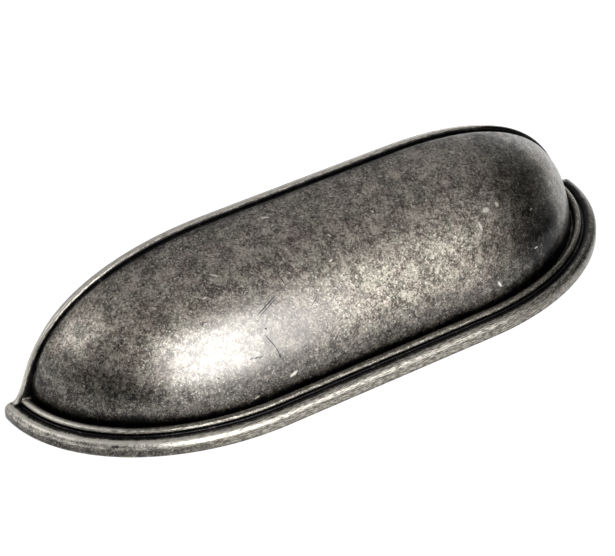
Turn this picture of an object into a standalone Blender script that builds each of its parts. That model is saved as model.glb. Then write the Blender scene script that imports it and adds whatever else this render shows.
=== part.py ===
"""Cup pull for a drawer, modelled as the one zinc-alloy die casting that it is.

The pull lies on its flat mounting face, which is z = 0. Its length runs along X and the
opening for the fingers faces +Y, so the lip of the cup lies in the plane y = DEPTH / 2.
+Z points away from the drawer front. All sizes are in metres.

The casting is made from these forms:
  a moulded flange, whose section is swept round the half-oval outline of the foot,
  a domed shell that rises from the moulding and ends at the arched lip,
  a raised bead that is swept along the lip and flares out into the flange,
  two posts inside the cup with blind holes for the fixing screws.
"""

from math import acos, asin, cos, pi, radians, sin, sqrt

import bmesh
import bpy
from mathutils import Vector

# Foot outline: two elliptical ends joined by a straight stretch, cut off by the lip plane
LENGTH = 0.1200
DEPTH = 0.0302
STRAIGHT_HALF = 0.0212
BACK_WIDTH = 0.0067
END_ROUND = 0.0003

# Section of the flange moulding, from the outside in
FOOT_ROUND = 0.0003
WALL_HEIGHT = 0.0016
OUTER_BEAD_RADIUS = 0.00125
OUTER_BEAD_END = radians(40)
COVE_RADIUS = 0.00032
INNER_BEAD_RADIUS = 0.00065
INNER_BEAD_HEIGHT = 0.00286
QUIRK_RADIUS = 0.0004
DOME_FOOT_HEIGHT = 0.00245

# Dome and its arched lip
ARCH_HEIGHT = 0.02515
ARCH_STRAIGHT_HALF = 0.0175
ARCH_EXPONENT = 2.28
CREST_SETBACK = 0.0011
LIP_WALL = 0.0024

# Groove beside the lip bead
GROOVE_WIDTH = 0.0030
GROOVE_DEPTH = 0.0005

# Lip bead, and the flare with which each end of it runs out into the flange
BEAD_WIDTH = 0.0014
BEAD_SETBACK = 0.0001
BEAD_RISE = 0.0003
BEAD_GROWTH = 0.0021
BEAD_GROWTH_FALLOFF = 4.0
BEAD_ROOT = 0.0013
BEAD_FOOT_HEIGHT = 0.0018
FLARE_HEIGHT = 0.0038

# Screw posts
HOLE_SPACING = 0.0960
POST_DIAMETER = 0.0085
POST_SETBACK = 0.0080
POST_RECESS = 0.0002
HOLE_DIAMETER = 0.0033
HOLE_DEPTH = 0.0075
HOLE_MOUTH = 0.0006

# Fineness of the facets
CORNER_STEPS = 26
STRAIGHT_STEPS = 4
END_STEPS = 3
DOME_STEPS = 10
GROOVE_STEPS = 6
FLARE_STEPS = 7
ARCH_STEPS = 24
POST_SIDES = 28
MERGE_DISTANCE = 0.000001

LIP_Y = DEPTH / 2
HALF_LENGTH = LENGTH / 2


def clear_scene():
    """Remove every object of the scene that the script starts in."""
    for obj in list(bpy.data.objects):
        bpy.data.objects.remove(obj, do_unlink=True)


def pewter():
    """Return the dark, mottled antique pewter finish of the whole casting."""
    material = bpy.data.materials.new("antique_pewter")
    material.use_nodes = True
    shader = material.node_tree.nodes["Principled BSDF"]
    shader.inputs["Base Color"].default_value = (0.19, 0.18, 0.165, 1.0)
    shader.inputs["Metallic"].default_value = 1.0
    shader.inputs["Roughness"].default_value = 0.38
    return material


def arc(centre, radius, start, end, steps):
    """Return points of a round arc in the section plane, both ends included."""
    angles = [start + (end - start) * i / steps for i in range(steps + 1)]
    return [(centre[0] + radius * cos(a), centre[1] + radius * sin(a)) for a in angles]


def flange_section():
    """Return the moulding as (offset from the outline, height), from the back to the dome foot.

    Going inwards it has a rounded foot, a plain wall, a wide bead, a cove, a narrow
    bead and the sharp quirk in which the dome stands.
    """
    foot = arc((FOOT_ROUND, FOOT_ROUND), FOOT_ROUND, radians(270), radians(180), 3)
    outer_centre = (OUTER_BEAD_RADIUS, WALL_HEIGHT)
    outer_bead = arc(outer_centre, OUTER_BEAD_RADIUS, pi, OUTER_BEAD_END, 8)
    reach = OUTER_BEAD_RADIUS + COVE_RADIUS
    cove_centre = (
        outer_centre[0] + reach * cos(OUTER_BEAD_END),
        outer_centre[1] + reach * sin(OUTER_BEAD_END),
    )
    cove = arc(cove_centre, COVE_RADIUS, pi + OUTER_BEAD_END, 2 * pi, 5)
    inner_centre = (cove_centre[0] + COVE_RADIUS + INNER_BEAD_RADIUS, INNER_BEAD_HEIGHT)
    inner_bead = arc(inner_centre, INNER_BEAD_RADIUS, pi, 0, 8)
    quirk_centre = (inner_centre[0] + INNER_BEAD_RADIUS + QUIRK_RADIUS, DOME_FOOT_HEIGHT)
    quirk = arc(quirk_centre, QUIRK_RADIUS, pi, 2 * pi, 4)
    return foot + outer_bead + cove[1:] + inner_bead + quirk


SECTION = flange_section()
DOME_OFFSET = SECTION[-1][0]
DOME_HALF_LENGTH = HALF_LENGTH - DOME_OFFSET
CAVITY_HALF_LENGTH = HALF_LENGTH - BACK_WIDTH
CAVITY_HEIGHT = ARCH_HEIGHT - LIP_WALL

# The flare lands on the crest of the outer bead
FLARE_FOOT = WALL_HEIGHT + OUTER_BEAD_RADIUS
FLARE_TOP = FLARE_FOOT + FLARE_HEIGHT
FLARE_REACH = DOME_OFFSET - OUTER_BEAD_RADIUS - BEAD_RISE - BEAD_GROWTH


def section_normals():
    """Return the outward normal of the moulding at each point of its section."""
    normals = []
    for i in range(len(SECTION)):
        before = SECTION[max(i - 1, 0)]
        after = SECTION[min(i + 1, len(SECTION) - 1)]
        run = Vector((after[0] - before[0], after[1] - before[1])).normalized()
        normals.append((-run.y, run.x))
    return normals


def outline():
    """Return (point, inward normal, inset) along the foot outline, left tip to right tip.

    The inset draws the moulding in at the two tips, which rounds its ends off.
    """
    long_axis = HALF_LENGTH - STRAIGHT_HALF
    first = asin(END_ROUND / DEPTH)
    angles = []
    for i in range(END_STEPS):
        turn = pi / 2 * i / END_STEPS
        angles.append((asin(END_ROUND * (1 - cos(turn)) / DEPTH), END_ROUND * (1 - sin(turn))))
    angles += [(first + (pi / 2 - first) * i / CORNER_STEPS, 0.0) for i in range(CORNER_STEPS + 1)]
    corner = []
    for angle, inset in angles:
        point = Vector((-STRAIGHT_HALF - long_axis * cos(angle), LIP_Y - DEPTH * sin(angle)))
        normal = Vector((cos(angle) / long_axis, sin(angle) / DEPTH)).normalized()
        corner.append((point, normal, inset))
    middle = []
    for i in range(1, STRAIGHT_STEPS):
        x = STRAIGHT_HALF * (2 * i / STRAIGHT_STEPS - 1)
        middle.append((Vector((x, LIP_Y - DEPTH)), Vector((0.0, 1.0)), 0.0))
    mirrored = [(Vector((-p.x, p.y)), Vector((-n.x, n.y)), inset) for p, n, inset in reversed(corner)]
    return corner + middle + mirrored


def arch_height(x, half_length, foot, top):
    """Return the height of an arched edge in the lip plane above the place x."""
    run = (abs(x) - ARCH_STRAIGHT_HALF) / (half_length - ARCH_STRAIGHT_HALF)
    run = min(max(run, 0.0), 1.0)
    return foot + (top - foot) * (1 - run ** ARCH_EXPONENT) ** (1 / ARCH_EXPONENT)


def arch_place(angle):
    """Return the point (x, z) of the outer arch and its outward normal, on the right half.

    The angle runs from 0 at the foot to pi / 2, where the arch goes over into its
    straight top.
    """
    width = DOME_HALF_LENGTH - ARCH_STRAIGHT_HALF
    height = ARCH_HEIGHT - DOME_FOOT_HEIGHT
    across = cos(angle) ** (2 / ARCH_EXPONENT)
    up = sin(angle) ** (2 / ARCH_EXPONENT)
    point = Vector((ARCH_STRAIGHT_HALF + width * across, DOME_FOOT_HEIGHT + height * up))
    steepness = ARCH_EXPONENT - 1
    normal = Vector((across ** steepness / width, up ** steepness / height))
    return point, normal.normalized()


def arch_point(height):
    """Return the point (x, z) of the outer arch at a height, and its outward normal.

    This is on the right half. Below the foot of the dome the arch goes straight down.
    """
    climb = (height - DOME_FOOT_HEIGHT) / (ARCH_HEIGHT - DOME_FOOT_HEIGHT)
    if climb <= 0:
        return Vector((DOME_HALF_LENGTH, height)), Vector((1.0, 0.0))
    return arch_place(asin(climb ** (ARCH_EXPONENT / 2)))


def meridian(x, depth, rise, foot):
    """Return the dome in the plane x, from its foot over its crest to the lip.

    It is a quarter ellipse up to the crest, which lies a little behind the lip. The last
    stretch before the lip dips into the groove beside the lip bead.
    """
    if depth < MERGE_DISTANCE:
        return [Vector((x, LIP_Y, foot))] * (DOME_STEPS + GROOVE_STEPS)
    groove = min(GROOVE_WIDTH, depth / 2)
    crest = CREST_SETBACK * groove / GROOVE_WIDTH
    run = depth - crest
    turn = acos((groove - crest) / run)
    reach = [crest + run * cos(turn * i / DOME_STEPS) for i in range(1, DOME_STEPS)]
    reach += [groove * (1 - i / GROOVE_STEPS) for i in range(GROOVE_STEPS + 1)]
    points = []
    for back in reach:
        share = max(back - crest, 0.0) / run
        height = foot + rise * sqrt(1 - share * share)
        if back < groove:
            height -= GROOVE_DEPTH * groove / GROOVE_WIDTH * sin(pi * back / groove) ** 2
        points.append(Vector((x, LIP_Y - back, height)))
    return points


def cavity_meridian(x, depth, rise):
    """Return a quarter ellipse in the plane x, from the lip down the inside to the back."""
    turns = [pi / 2 * (1 - i / DOME_STEPS) for i in range(DOME_STEPS + 1)]
    return [Vector((x, LIP_Y - depth * cos(turn), rise * sin(turn))) for turn in turns]


def shell_ring(point, normal, inset):
    """Return one closed section of the casting: moulding, dome, lip and inside."""
    ring = []
    for (offset, height), (aside, up) in zip(SECTION, section_normals()):
        place = point + normal * (offset - aside * inset)
        ring.append(Vector((place.x, place.y, height - up * inset)))
    foot = point + normal * DOME_OFFSET
    top = arch_height(foot.x, DOME_HALF_LENGTH, DOME_FOOT_HEIGHT, ARCH_HEIGHT)
    ring += meridian(foot.x, LIP_Y - foot.y, top - DOME_FOOT_HEIGHT, DOME_FOOT_HEIGHT)
    inner = point + normal * BACK_WIDTH
    inner_top = arch_height(inner.x, CAVITY_HALF_LENGTH, 0.0, CAVITY_HEIGHT)
    ring += cavity_meridian(inner.x, LIP_Y - inner.y, inner_top)
    return ring


def bead_rise(height):
    """Return how far the lip bead stands above the arch where the arch has this height.

    The bead grows towards its two ends and then sweeps out in a fillet, which lands on
    the outer bead of the flange.
    """
    share = (height - DOME_FOOT_HEIGHT) / (ARCH_HEIGHT - DOME_FOOT_HEIGHT)
    share = min(max(share, 0.0), 1.0)
    rise = BEAD_RISE + BEAD_GROWTH * (1 - share) ** BEAD_GROWTH_FALLOFF
    drop = min(max((FLARE_TOP - height) / FLARE_HEIGHT, 0.0), 1.0)
    return rise + FLARE_REACH * (1 - sqrt(1 - drop ** 2))


def bead_ring(point, normal):
    """Return one closed section of the lip bead, across the arch at a point (x, z)."""
    radius = (BEAD_WIDTH - BEAD_SETBACK) / 2
    middle = LIP_Y - BEAD_SETBACK - radius
    crown = bead_rise(point.y) - radius
    section = [(middle - radius, -BEAD_ROOT)]
    section += arc((middle, crown), radius, pi, 0, 8)
    section += [(middle + radius, -BEAD_ROOT)]
    ring = []
    for y, rise in section:
        place = point + normal * rise
        ring.append(Vector((place.x, y, place.y)))
    return ring


def bead_rings():
    """Return the sections of the lip bead from the left end to the right end."""
    places = [arch_point(BEAD_FOOT_HEIGHT)]
    for i in range(FLARE_STEPS + 1):
        places.append(arch_point(FLARE_TOP - FLARE_HEIGHT * cos(pi / 2 * i / FLARE_STEPS)))
    climb = (FLARE_TOP - DOME_FOOT_HEIGHT) / (ARCH_HEIGHT - DOME_FOOT_HEIGHT)
    first = asin(climb ** (ARCH_EXPONENT / 2))
    for i in range(1, ARCH_STEPS + 1):
        places.append(arch_place(first + (pi / 2 - first) * i / ARCH_STEPS))
    right = [bead_ring(point, normal) for point, normal in places]
    left = [[Vector((-v.x, v.y, v.z)) for v in ring] for ring in right]
    return left + right[::-1]


def loft(name, rings):
    """Return an object whose skin joins closed rings of equal length, capped at both ends."""
    bm = bmesh.new()
    rows = [[bm.verts.new(place) for place in ring] for ring in rings]
    count = len(rows[0])
    for row, following in zip(rows, rows[1:]):
        for i in range(count):
            j = (i + 1) % count
            bm.faces.new((row[i], row[j], following[j], following[i]))
    bm.faces.new(rows[0][::-1])
    bm.faces.new(rows[-1])
    bmesh.ops.remove_doubles(bm, verts=bm.verts, dist=MERGE_DISTANCE)
    bmesh.ops.dissolve_degenerate(bm, edges=bm.edges, dist=MERGE_DISTANCE)
    bmesh.ops.recalc_face_normals(bm, faces=bm.faces)
    mesh = bpy.data.meshes.new(name)
    bm.to_mesh(mesh)
    bm.free()
    obj = bpy.data.objects.new(name, mesh)
    bpy.context.collection.objects.link(obj)
    return obj


def circle(x, radius, height):
    """Return points of a level circle round the screw place at x, at one height."""
    angles = [2 * pi * i / POST_SIDES for i in range(POST_SIDES)]
    y = LIP_Y - POST_SETBACK
    return [Vector((x + radius * cos(a), y + radius * sin(a), height)) for a in angles]


def cavity_ceiling(x, y):
    """Return the height of the inside of the dome above a place on the drawer front."""
    run = max(abs(x) - STRAIGHT_HALF, 0.0) / (CAVITY_HALF_LENGTH - STRAIGHT_HALF)
    depth = (DEPTH - BACK_WIDTH) * sqrt(max(1 - run * run, 0.0))
    share = min((LIP_Y - y) / depth, 1.0) if depth > MERGE_DISTANCE else 1.0
    top = arch_height(x, CAVITY_HALF_LENGTH, 0.0, CAVITY_HEIGHT)
    return top * sqrt(1 - share * share)


def post(name, x):
    """Return a screw post that runs up to the middle of the dome's wall."""
    bottom = circle(x, POST_DIAMETER / 2, POST_RECESS)
    top = [Vector((v.x, v.y, cavity_ceiling(v.x, v.y) + LIP_WALL / 2)) for v in bottom]
    return loft(name, [bottom, top])


def screw_hole(name, x):
    """Return the cutter of a blind screw hole with a chamfered mouth and a drilled tip."""
    radius = HOLE_DIAMETER / 2
    profile = [
        (radius + 2 * HOLE_MOUTH, POST_RECESS - HOLE_MOUTH),
        (radius, POST_RECESS + HOLE_MOUTH),
        (radius, HOLE_DEPTH),
        (radius / 10, HOLE_DEPTH + radius / 2),
    ]
    return loft(name, [circle(x, r, height) for r, height in profile])


def combine(body, other, operation):
    """Join another solid to the body, or cut it out, and keep it only as a guide."""
    other.hide_render = True
    other.display_type = "WIRE"
    modifier = body.modifiers.new(operation.title() + " " + other.name, "BOOLEAN")
    modifier.operation = operation
    modifier.solver = "EXACT"
    modifier.object = other


def main():
    """Build the casting."""
    clear_scene()
    pull = loft("cup_pull", [shell_ring(*station) for station in outline()])
    pull.data.materials.append(pewter())
    pull.data.shade_smooth()
    pull.data.set_sharp_from_angle(angle=radians(40))
    combine(pull, loft("lip_bead", bead_rings()), "UNION")
    for side, x in (("left", -HOLE_SPACING / 2), ("right", HOLE_SPACING / 2)):
        combine(pull, post(side + "_post", x), "UNION")
        combine(pull, screw_hole(side + "_screw_hole", x), "DIFFERENCE")


main()
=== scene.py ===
"""Antique pewter cup pull, modelled finely and dressed for its studio picture.

The pull is one zinc casting, so it is one piece here too: a moulded flange and a domed
shell, a bead along the lip and two screw posts, joined by Booleans. It lies on its
mounting face, z = 0, with its length along X and the open side facing +Y. Sizes are in
metres. Each skin carries what the finish needs to know about a place: how deep the
patina and the painted shade sit there, how far the wheel has burnished it and where a
highlight is painted on, and whether it is raw casting.
"""

import logging
from collections.abc import Sequence
from dataclasses import dataclass, field
from enum import Enum
from math import acos, asin, cos, pi, radians, sin, sqrt

import bpy
import numpy as np
from mathutils import Matrix, Vector
from mathutils.kdtree import KDTree


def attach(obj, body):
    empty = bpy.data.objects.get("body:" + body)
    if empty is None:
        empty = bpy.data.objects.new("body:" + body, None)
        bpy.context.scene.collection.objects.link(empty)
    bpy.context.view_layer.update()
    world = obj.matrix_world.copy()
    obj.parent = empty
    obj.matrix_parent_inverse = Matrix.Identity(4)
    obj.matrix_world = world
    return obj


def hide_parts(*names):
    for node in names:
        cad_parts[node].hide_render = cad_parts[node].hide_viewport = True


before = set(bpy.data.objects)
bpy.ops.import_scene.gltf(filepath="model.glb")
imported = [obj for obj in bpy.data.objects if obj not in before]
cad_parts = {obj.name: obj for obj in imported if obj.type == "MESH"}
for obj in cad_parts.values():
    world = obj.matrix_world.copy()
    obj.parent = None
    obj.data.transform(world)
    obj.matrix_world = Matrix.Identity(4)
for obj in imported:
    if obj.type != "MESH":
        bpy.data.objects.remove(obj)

LOG = logging.getLogger("cup_pull")
MERGE_DISTANCE = 0.000001
MM_PER_M = 1000

Socket = bpy.types.NodeSocket
Value = Socket | float
Point = tuple[float, float, float]
Colour = tuple[float, float, float, float]


def deselect_all() -> None:
    """Leave nothing selected, so that the next operator acts on its own object only."""
    bpy.ops.object.select_all(action="DESELECT")


def smooth_step(values: np.ndarray, low: float, high: float) -> np.ndarray:
    """Ease values from 0 at one limit to 1 at the other.

    Args:
        values: The values to ease.
        low: Where the result is 0. It may lie above high.
        high: Where the result is 1.

    Returns:
        The eased values, each from 0 to 1.
    """
    share = np.clip((np.asarray(values, dtype=float) - low) / (high - low), 0.0, 1.0)
    return share * share * (3 - 2 * share)


def arc(centre: Sequence[float], radius: float, start: float, end: float, steps: int) -> np.ndarray:
    """Lay points along a round arc.

    Args:
        centre: Centre of the arc.
        radius: Radius of the arc.
        start: Angle of the first point.
        end: Angle of the last point.
        steps: Number of stretches between the points.

    Returns:
        An array of steps + 1 points.
    """
    turns = np.linspace(start, end, steps + 1)
    return np.column_stack((centre[0] + radius * np.cos(turns), centre[1] + radius * np.sin(turns)))


class FinishMap:
    """What the finish needs to know about each place on the casting.

    Every form notes its points here before it is joined to the others, and each point of
    the joined casting takes over what the nearest of them says:
      patina_and_shade: depth of the dark patina, and of the painted shade, 0 to 1,
      burnish_and_highlight: how far the wheel rubbed it bright, with painted highlights, 0 to 1,
      raw: 1 where the casting was never polished,
      run: distance along the sweep that made the place,
      girth: distance round its section.
    """

    NAMES = ("patina_and_shade", "burnish_and_highlight", "raw", "run", "girth")

    def __init__(self) -> None:
        """Start with no points."""
        self.places: list[np.ndarray] = []
        self.values: list[np.ndarray] = []

    def note(self, places: np.ndarray, **values: np.ndarray | float) -> None:
        """Note the points of one form.

        Args:
            places: The points, as an array that ends in 3 columns.
            values: For each name, a number or an array of the points' shape.
        """
        shape = places.shape[:-1]
        columns = [np.broadcast_to(values[name], shape).ravel() for name in self.NAMES]
        self.places.append(places.reshape(-1, 3))
        self.values.append(np.column_stack(columns))

    def paint(self, mesh: bpy.types.Mesh) -> None:
        """Store the values on the points of a mesh, as one attribute for each name.

        Args:
            mesh: The mesh of the joined casting.
        """
        places = np.concatenate(self.places)
        values = np.concatenate(self.values)
        tree = KDTree(len(places))
        for index, place in enumerate(places):
            tree.insert(place, index)
        tree.balance()
        nearest = [tree.find(vertex.co)[1] for vertex in mesh.vertices]
        for name, column in zip(self.NAMES, values[nearest].T):
            attribute = mesh.attributes.new(name, "FLOAT", "POINT")
            attribute.data.foreach_set("value", column.astype(np.float32))


@dataclass
class Skin:
    """A closed skin laid as a grid: rows run along the sweep, columns round the section.

    Attributes:
        name: Name of the object.
        places: Points of the skin, as rows by columns by 3.
        patina_and_shade: Depth of the patina and of the painted shade at each point.
        burnish_and_highlight: How far each point is rubbed bright, with the painted highlights.
        raw: 1 where the casting was never polished.
        run: Distance of each row along the sweep.
        girth: Distance of each column round the section.
    """

    name: str
    places: np.ndarray
    patina_and_shade: np.ndarray
    burnish_and_highlight: np.ndarray
    raw: np.ndarray
    run: np.ndarray
    girth: np.ndarray

    def build(self, finish_map: FinishMap) -> bpy.types.Object:
        """Turn the grid into a closed solid, and note its finish.

        Args:
            finish_map: Where the finish of each point is noted.

        Returns:
            The solid.
        """
        rows, columns = self.places.shape[:2]
        deselect_all()
        bpy.ops.mesh.primitive_grid_add(x_subdivisions=columns - 1, y_subdivisions=rows - 1, calc_uvs=False)
        skin = bpy.context.object
        skin.name = self.name
        skin.data.name = self.name
        skin.data.vertices.foreach_set("co", self.places.astype(np.float32).ravel())
        close_skin()
        finish_map.note(
            self.places,
            patina_and_shade=self.patina_and_shade,
            burnish_and_highlight=self.burnish_and_highlight,
            raw=self.raw,
            run=self.run[:, None],
            girth=self.girth,
        )
        return skin


def close_skin() -> None:
    """Merge the seam of the active grid, cap its two ends and turn its faces outwards."""
    bpy.ops.object.mode_set(mode="EDIT")
    bpy.ops.mesh.select_all(action="SELECT")
    bpy.ops.mesh.remove_doubles(threshold=MERGE_DISTANCE)
    bpy.ops.mesh.dissolve_degenerate(threshold=MERGE_DISTANCE)
    bpy.ops.mesh.select_all(action="SELECT")
    bpy.ops.mesh.fill_holes(sides=0)
    bpy.ops.mesh.select_all(action="SELECT")
    bpy.ops.mesh.normals_make_consistent(inside=False)
    bpy.ops.object.mode_set(mode="OBJECT")


@dataclass(frozen=True)
class Outline:
    """Outline of the foot: two elliptical ends, a straight stretch, cut off by the lip plane.

    Attributes:
        length: Overall length of the pull.
        depth: From the lip plane to the back of the flange.
        straight_half: Half the straight stretch.
        end_round: Rounding of the two tips.
        corner_steps: Stretches along each elliptical end.
        straight_steps: Stretches along the straight.
        end_steps: Stretches round each tip.
        crowding: How much closer the stretches lie near the tips; 1 is evenly spaced.
    """

    length: float = 0.1200
    depth: float = 0.0302
    straight_half: float = 0.0212
    end_round: float = 0.0003
    corner_steps: int = 120
    straight_steps: int = 44
    end_steps: int = 5
    crowding: float = 1.25

    @property
    def lip_y(self) -> float:
        """Place of the lip plane."""
        return self.depth / 2

    @property
    def half_length(self) -> float:
        """Half the overall length."""
        return self.length / 2

    def stations(self) -> tuple[np.ndarray, np.ndarray, np.ndarray]:
        """Walk the outline from the left tip to the right tip.

        Returns:
            The points, their inward normals, and how far the moulding is drawn in at each.
        """
        long_axis = self.half_length - self.straight_half
        first = asin(self.end_round / self.depth)
        turns = np.linspace(0, pi / 2, self.end_steps + 1)[:-1]
        end_angles = np.arcsin(self.end_round * (1 - np.cos(turns)) / self.depth)
        shares = np.linspace(0, 1, self.corner_steps + 1) ** self.crowding
        angles = np.concatenate((end_angles, first + (pi / 2 - first) * shares))
        insets = np.concatenate((self.end_round * (1 - np.sin(turns)), np.zeros(len(shares))))
        points = np.column_stack(
            (-self.straight_half - long_axis * np.cos(angles), self.lip_y - self.depth * np.sin(angles))
        )
        normals = np.column_stack((np.cos(angles) / long_axis, np.sin(angles) / self.depth))
        normals /= np.linalg.norm(normals, axis=1, keepdims=True)
        middle_x = np.linspace(-1, 1, self.straight_steps + 1)[1:-1] * self.straight_half
        middle = np.column_stack((middle_x, np.full(len(middle_x), self.lip_y - self.depth)))
        upright = np.tile((0.0, 1.0), (len(middle_x), 1))
        mirror = np.array((-1.0, 1.0))
        return (
            np.concatenate((points, middle, points[::-1] * mirror)),
            np.concatenate((normals, upright, normals[::-1] * mirror)),
            np.concatenate((insets, np.zeros(len(middle_x)), insets[::-1])),
        )


@dataclass(frozen=True)
class Moulding:
    """Section of the flange: wall, wide bead, cove, narrow bead and quirk.

    Attributes:
        back_width: Width of the flat mounting face.
        foot_round: Rounding of the edge that lies on the drawer front.
        wall_height: Height at which the wall turns into the wide bead.
        outer_bead_radius: Radius of the wide bead.
        outer_bead_end: Angle at which the wide bead turns into the cove.
        cove_radius: Radius of the cove.
        inner_bead_radius: Radius of the narrow bead.
        inner_bead_height: Height of the narrow bead's centre.
        quirk_radius: Radius of the quirk.
        dome_foot_height: Height at which the dome leaves the quirk.
        foot_steps: Stretches round the foot; the other steps are those along each form.
    """

    back_width: float = 0.0067
    foot_round: float = 0.0003
    wall_height: float = 0.0016
    outer_bead_radius: float = 0.00125
    outer_bead_end: float = radians(40)
    cove_radius: float = 0.00032
    inner_bead_radius: float = 0.00065
    inner_bead_height: float = 0.00286
    quirk_radius: float = 0.0004
    dome_foot_height: float = 0.00245
    foot_steps: int = 5
    wall_steps: int = 5
    outer_steps: int = 22
    hollow_steps: int = 9
    inner_steps: int = 16

    def section(self) -> np.ndarray:
        """Draw the moulding from the mounting face inwards.

        Returns:
            The points, as (offset from the outline, height).
        """
        foot_centre = (self.foot_round, self.foot_round)
        foot = arc(foot_centre, self.foot_round, radians(270), radians(180), self.foot_steps)
        wall = np.linspace((0.0, self.foot_round), (0.0, self.wall_height), self.wall_steps + 1)[1:-1]
        outer_centre = np.array((self.outer_bead_radius, self.wall_height))
        outer_bead = arc(outer_centre, self.outer_bead_radius, pi, self.outer_bead_end, self.outer_steps)
        reach = self.outer_bead_radius + self.cove_radius
        slant = np.array((cos(self.outer_bead_end), sin(self.outer_bead_end)))
        cove_centre = outer_centre + reach * slant
        cove = arc(cove_centre, self.cove_radius, pi + self.outer_bead_end, 2 * pi, self.hollow_steps)[1:]
        inner_x = cove_centre[0] + self.cove_radius + self.inner_bead_radius
        inner_bead = arc((inner_x, self.inner_bead_height), self.inner_bead_radius, pi, 0, self.inner_steps)
        quirk_centre = (inner_x + self.inner_bead_radius + self.quirk_radius, self.dome_foot_height)
        quirk = arc(quirk_centre, self.quirk_radius, pi, 2 * pi, self.hollow_steps)
        return np.concatenate((foot, wall, outer_bead, cove, inner_bead, quirk))

    def finish(self, x: float) -> tuple[np.ndarray, np.ndarray]:
        """Say the patina and burnish of the moulding, and where light and shade are painted on.

        Each line of the two lists below is one form, from the foot inwards.

        Args:
            x: Place along the pull.

        Returns:
            The patina with painted shade, and the burnish with painted highlight, at each point of the
            section.
        """
        # Painted light along the pull: painted highlight at the left end and on the left tip of the narrow
        # bead, painted shade towards the right end.
        left = float(smooth_step(x, -0.024, -0.048))
        tip = float(smooth_step(x, -0.044, -0.055))
        right = 0.7 * float(smooth_step(x, 0.006, 0.046)) + 0.5 * float(smooth_step(x, 0.038, 0.056))
        wall = np.linspace(self.foot_round, self.wall_height, self.wall_steps + 1)[1:-1]
        outer = np.linspace(pi, self.outer_bead_end, self.outer_steps + 1)
        inner = np.linspace(pi, 0, self.inner_steps + 1)
        foot = np.ones(self.foot_steps + 1)
        hollow = np.ones(self.hollow_steps + 1)
        crown = smooth_step(inner, radians(-10), radians(16))
        crown *= smooth_step(inner, radians(184), radians(160))
        # Patina fills the cove, the quirk and the flanks of the narrow bead, and dims the inner side of the
        # wide bead. The rest is painted shade: a painted shadow along the foot and the bottom of the wall,
        # and a darker wall and wide bead at both ends.
        patina_and_shade = np.concatenate((
            0.4 * foot,
            0.62 * left + 0.12 * right + 0.35 * smooth_step(wall, 0.0007, 0.0003),
            np.maximum(
                smooth_step(outer, radians(118), radians(76)),
                0.52 * right + 0.58 * left * smooth_step(outer, radians(112), radians(142)),
            ),
            hollow[1:],
            1 - crown,
            0.85 * hollow,
        ))
        # The wall, the outer side of the wide bead and the crown of the narrow bead are burnished. The
        # extra brightness at the left end and on its tip is painted highlight; the dimming towards the
        # right end is painted shade.
        crest = smooth_step(outer, radians(178), radians(156))
        burnish_and_highlight = np.concatenate((
            0.2 * foot,
            np.full(len(wall), 0.54 - 0.26 * left - 0.14 * right),
            (0.64 + 0.34 * left - 0.28 * right) * (0.72 - 0.18 * left + (0.28 + 0.18 * left) * crest),
            0 * hollow[1:],
            np.full(len(inner), 0.42 + 0.10 * left + 0.42 * tip - 0.04 * right),
            0 * hollow,
        ))
        return patina_and_shade, burnish_and_highlight

    @property
    def dome_offset(self) -> float:
        """Distance from the outline to the foot of the dome."""
        return float(self.section()[-1, 0])


@dataclass(frozen=True)
class Arch:
    """The arched upper edge of the dome in the lip plane: flat on top, superelliptic at both ends.

    Attributes:
        height: Height of the flat top.
        straight_half: Half the length of the flat top.
        exponent: Exponent of the superellipse; 2 is an ellipse.
    """

    height: float = 0.02515
    straight_half: float = 0.0175
    exponent: float = 2.28

    def height_at(self, x: np.ndarray, half_length: float, foot: float, top: float) -> np.ndarray:
        """Return the height of an arched edge of the given half length above the places x."""
        run = np.clip((np.abs(x) - self.straight_half) / (half_length - self.straight_half), 0, 1)
        return foot + (top - foot) * (1 - run ** self.exponent) ** (1 / self.exponent)

    def walk(self, angles: np.ndarray, half_length: float, foot: float) -> tuple[np.ndarray, np.ndarray]:
        """Walk the right half of the arch.

        Args:
            angles: 0 at the foot of the arch, pi / 2 at the start of its flat top.
            half_length: Half the length of the arch at its foot.
            foot: Height of its foot.

        Returns:
            The points (x, z) and their outward normals.
        """
        width = half_length - self.straight_half
        rise = self.height - foot
        across = np.cos(angles) ** (2 / self.exponent)
        up = np.sin(angles) ** (2 / self.exponent)
        points = np.column_stack((self.straight_half + width * across, foot + rise * up))
        steepness = self.exponent - 1
        normals = np.column_stack((across ** steepness / width, up ** steepness / rise))
        return points, normals / np.linalg.norm(normals, axis=1, keepdims=True)

    def angle_at(self, height: float, foot: float) -> float:
        """Return the angle at which the arch reaches a height."""
        return asin(((height - foot) / (self.height - foot)) ** (self.exponent / 2))


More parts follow.
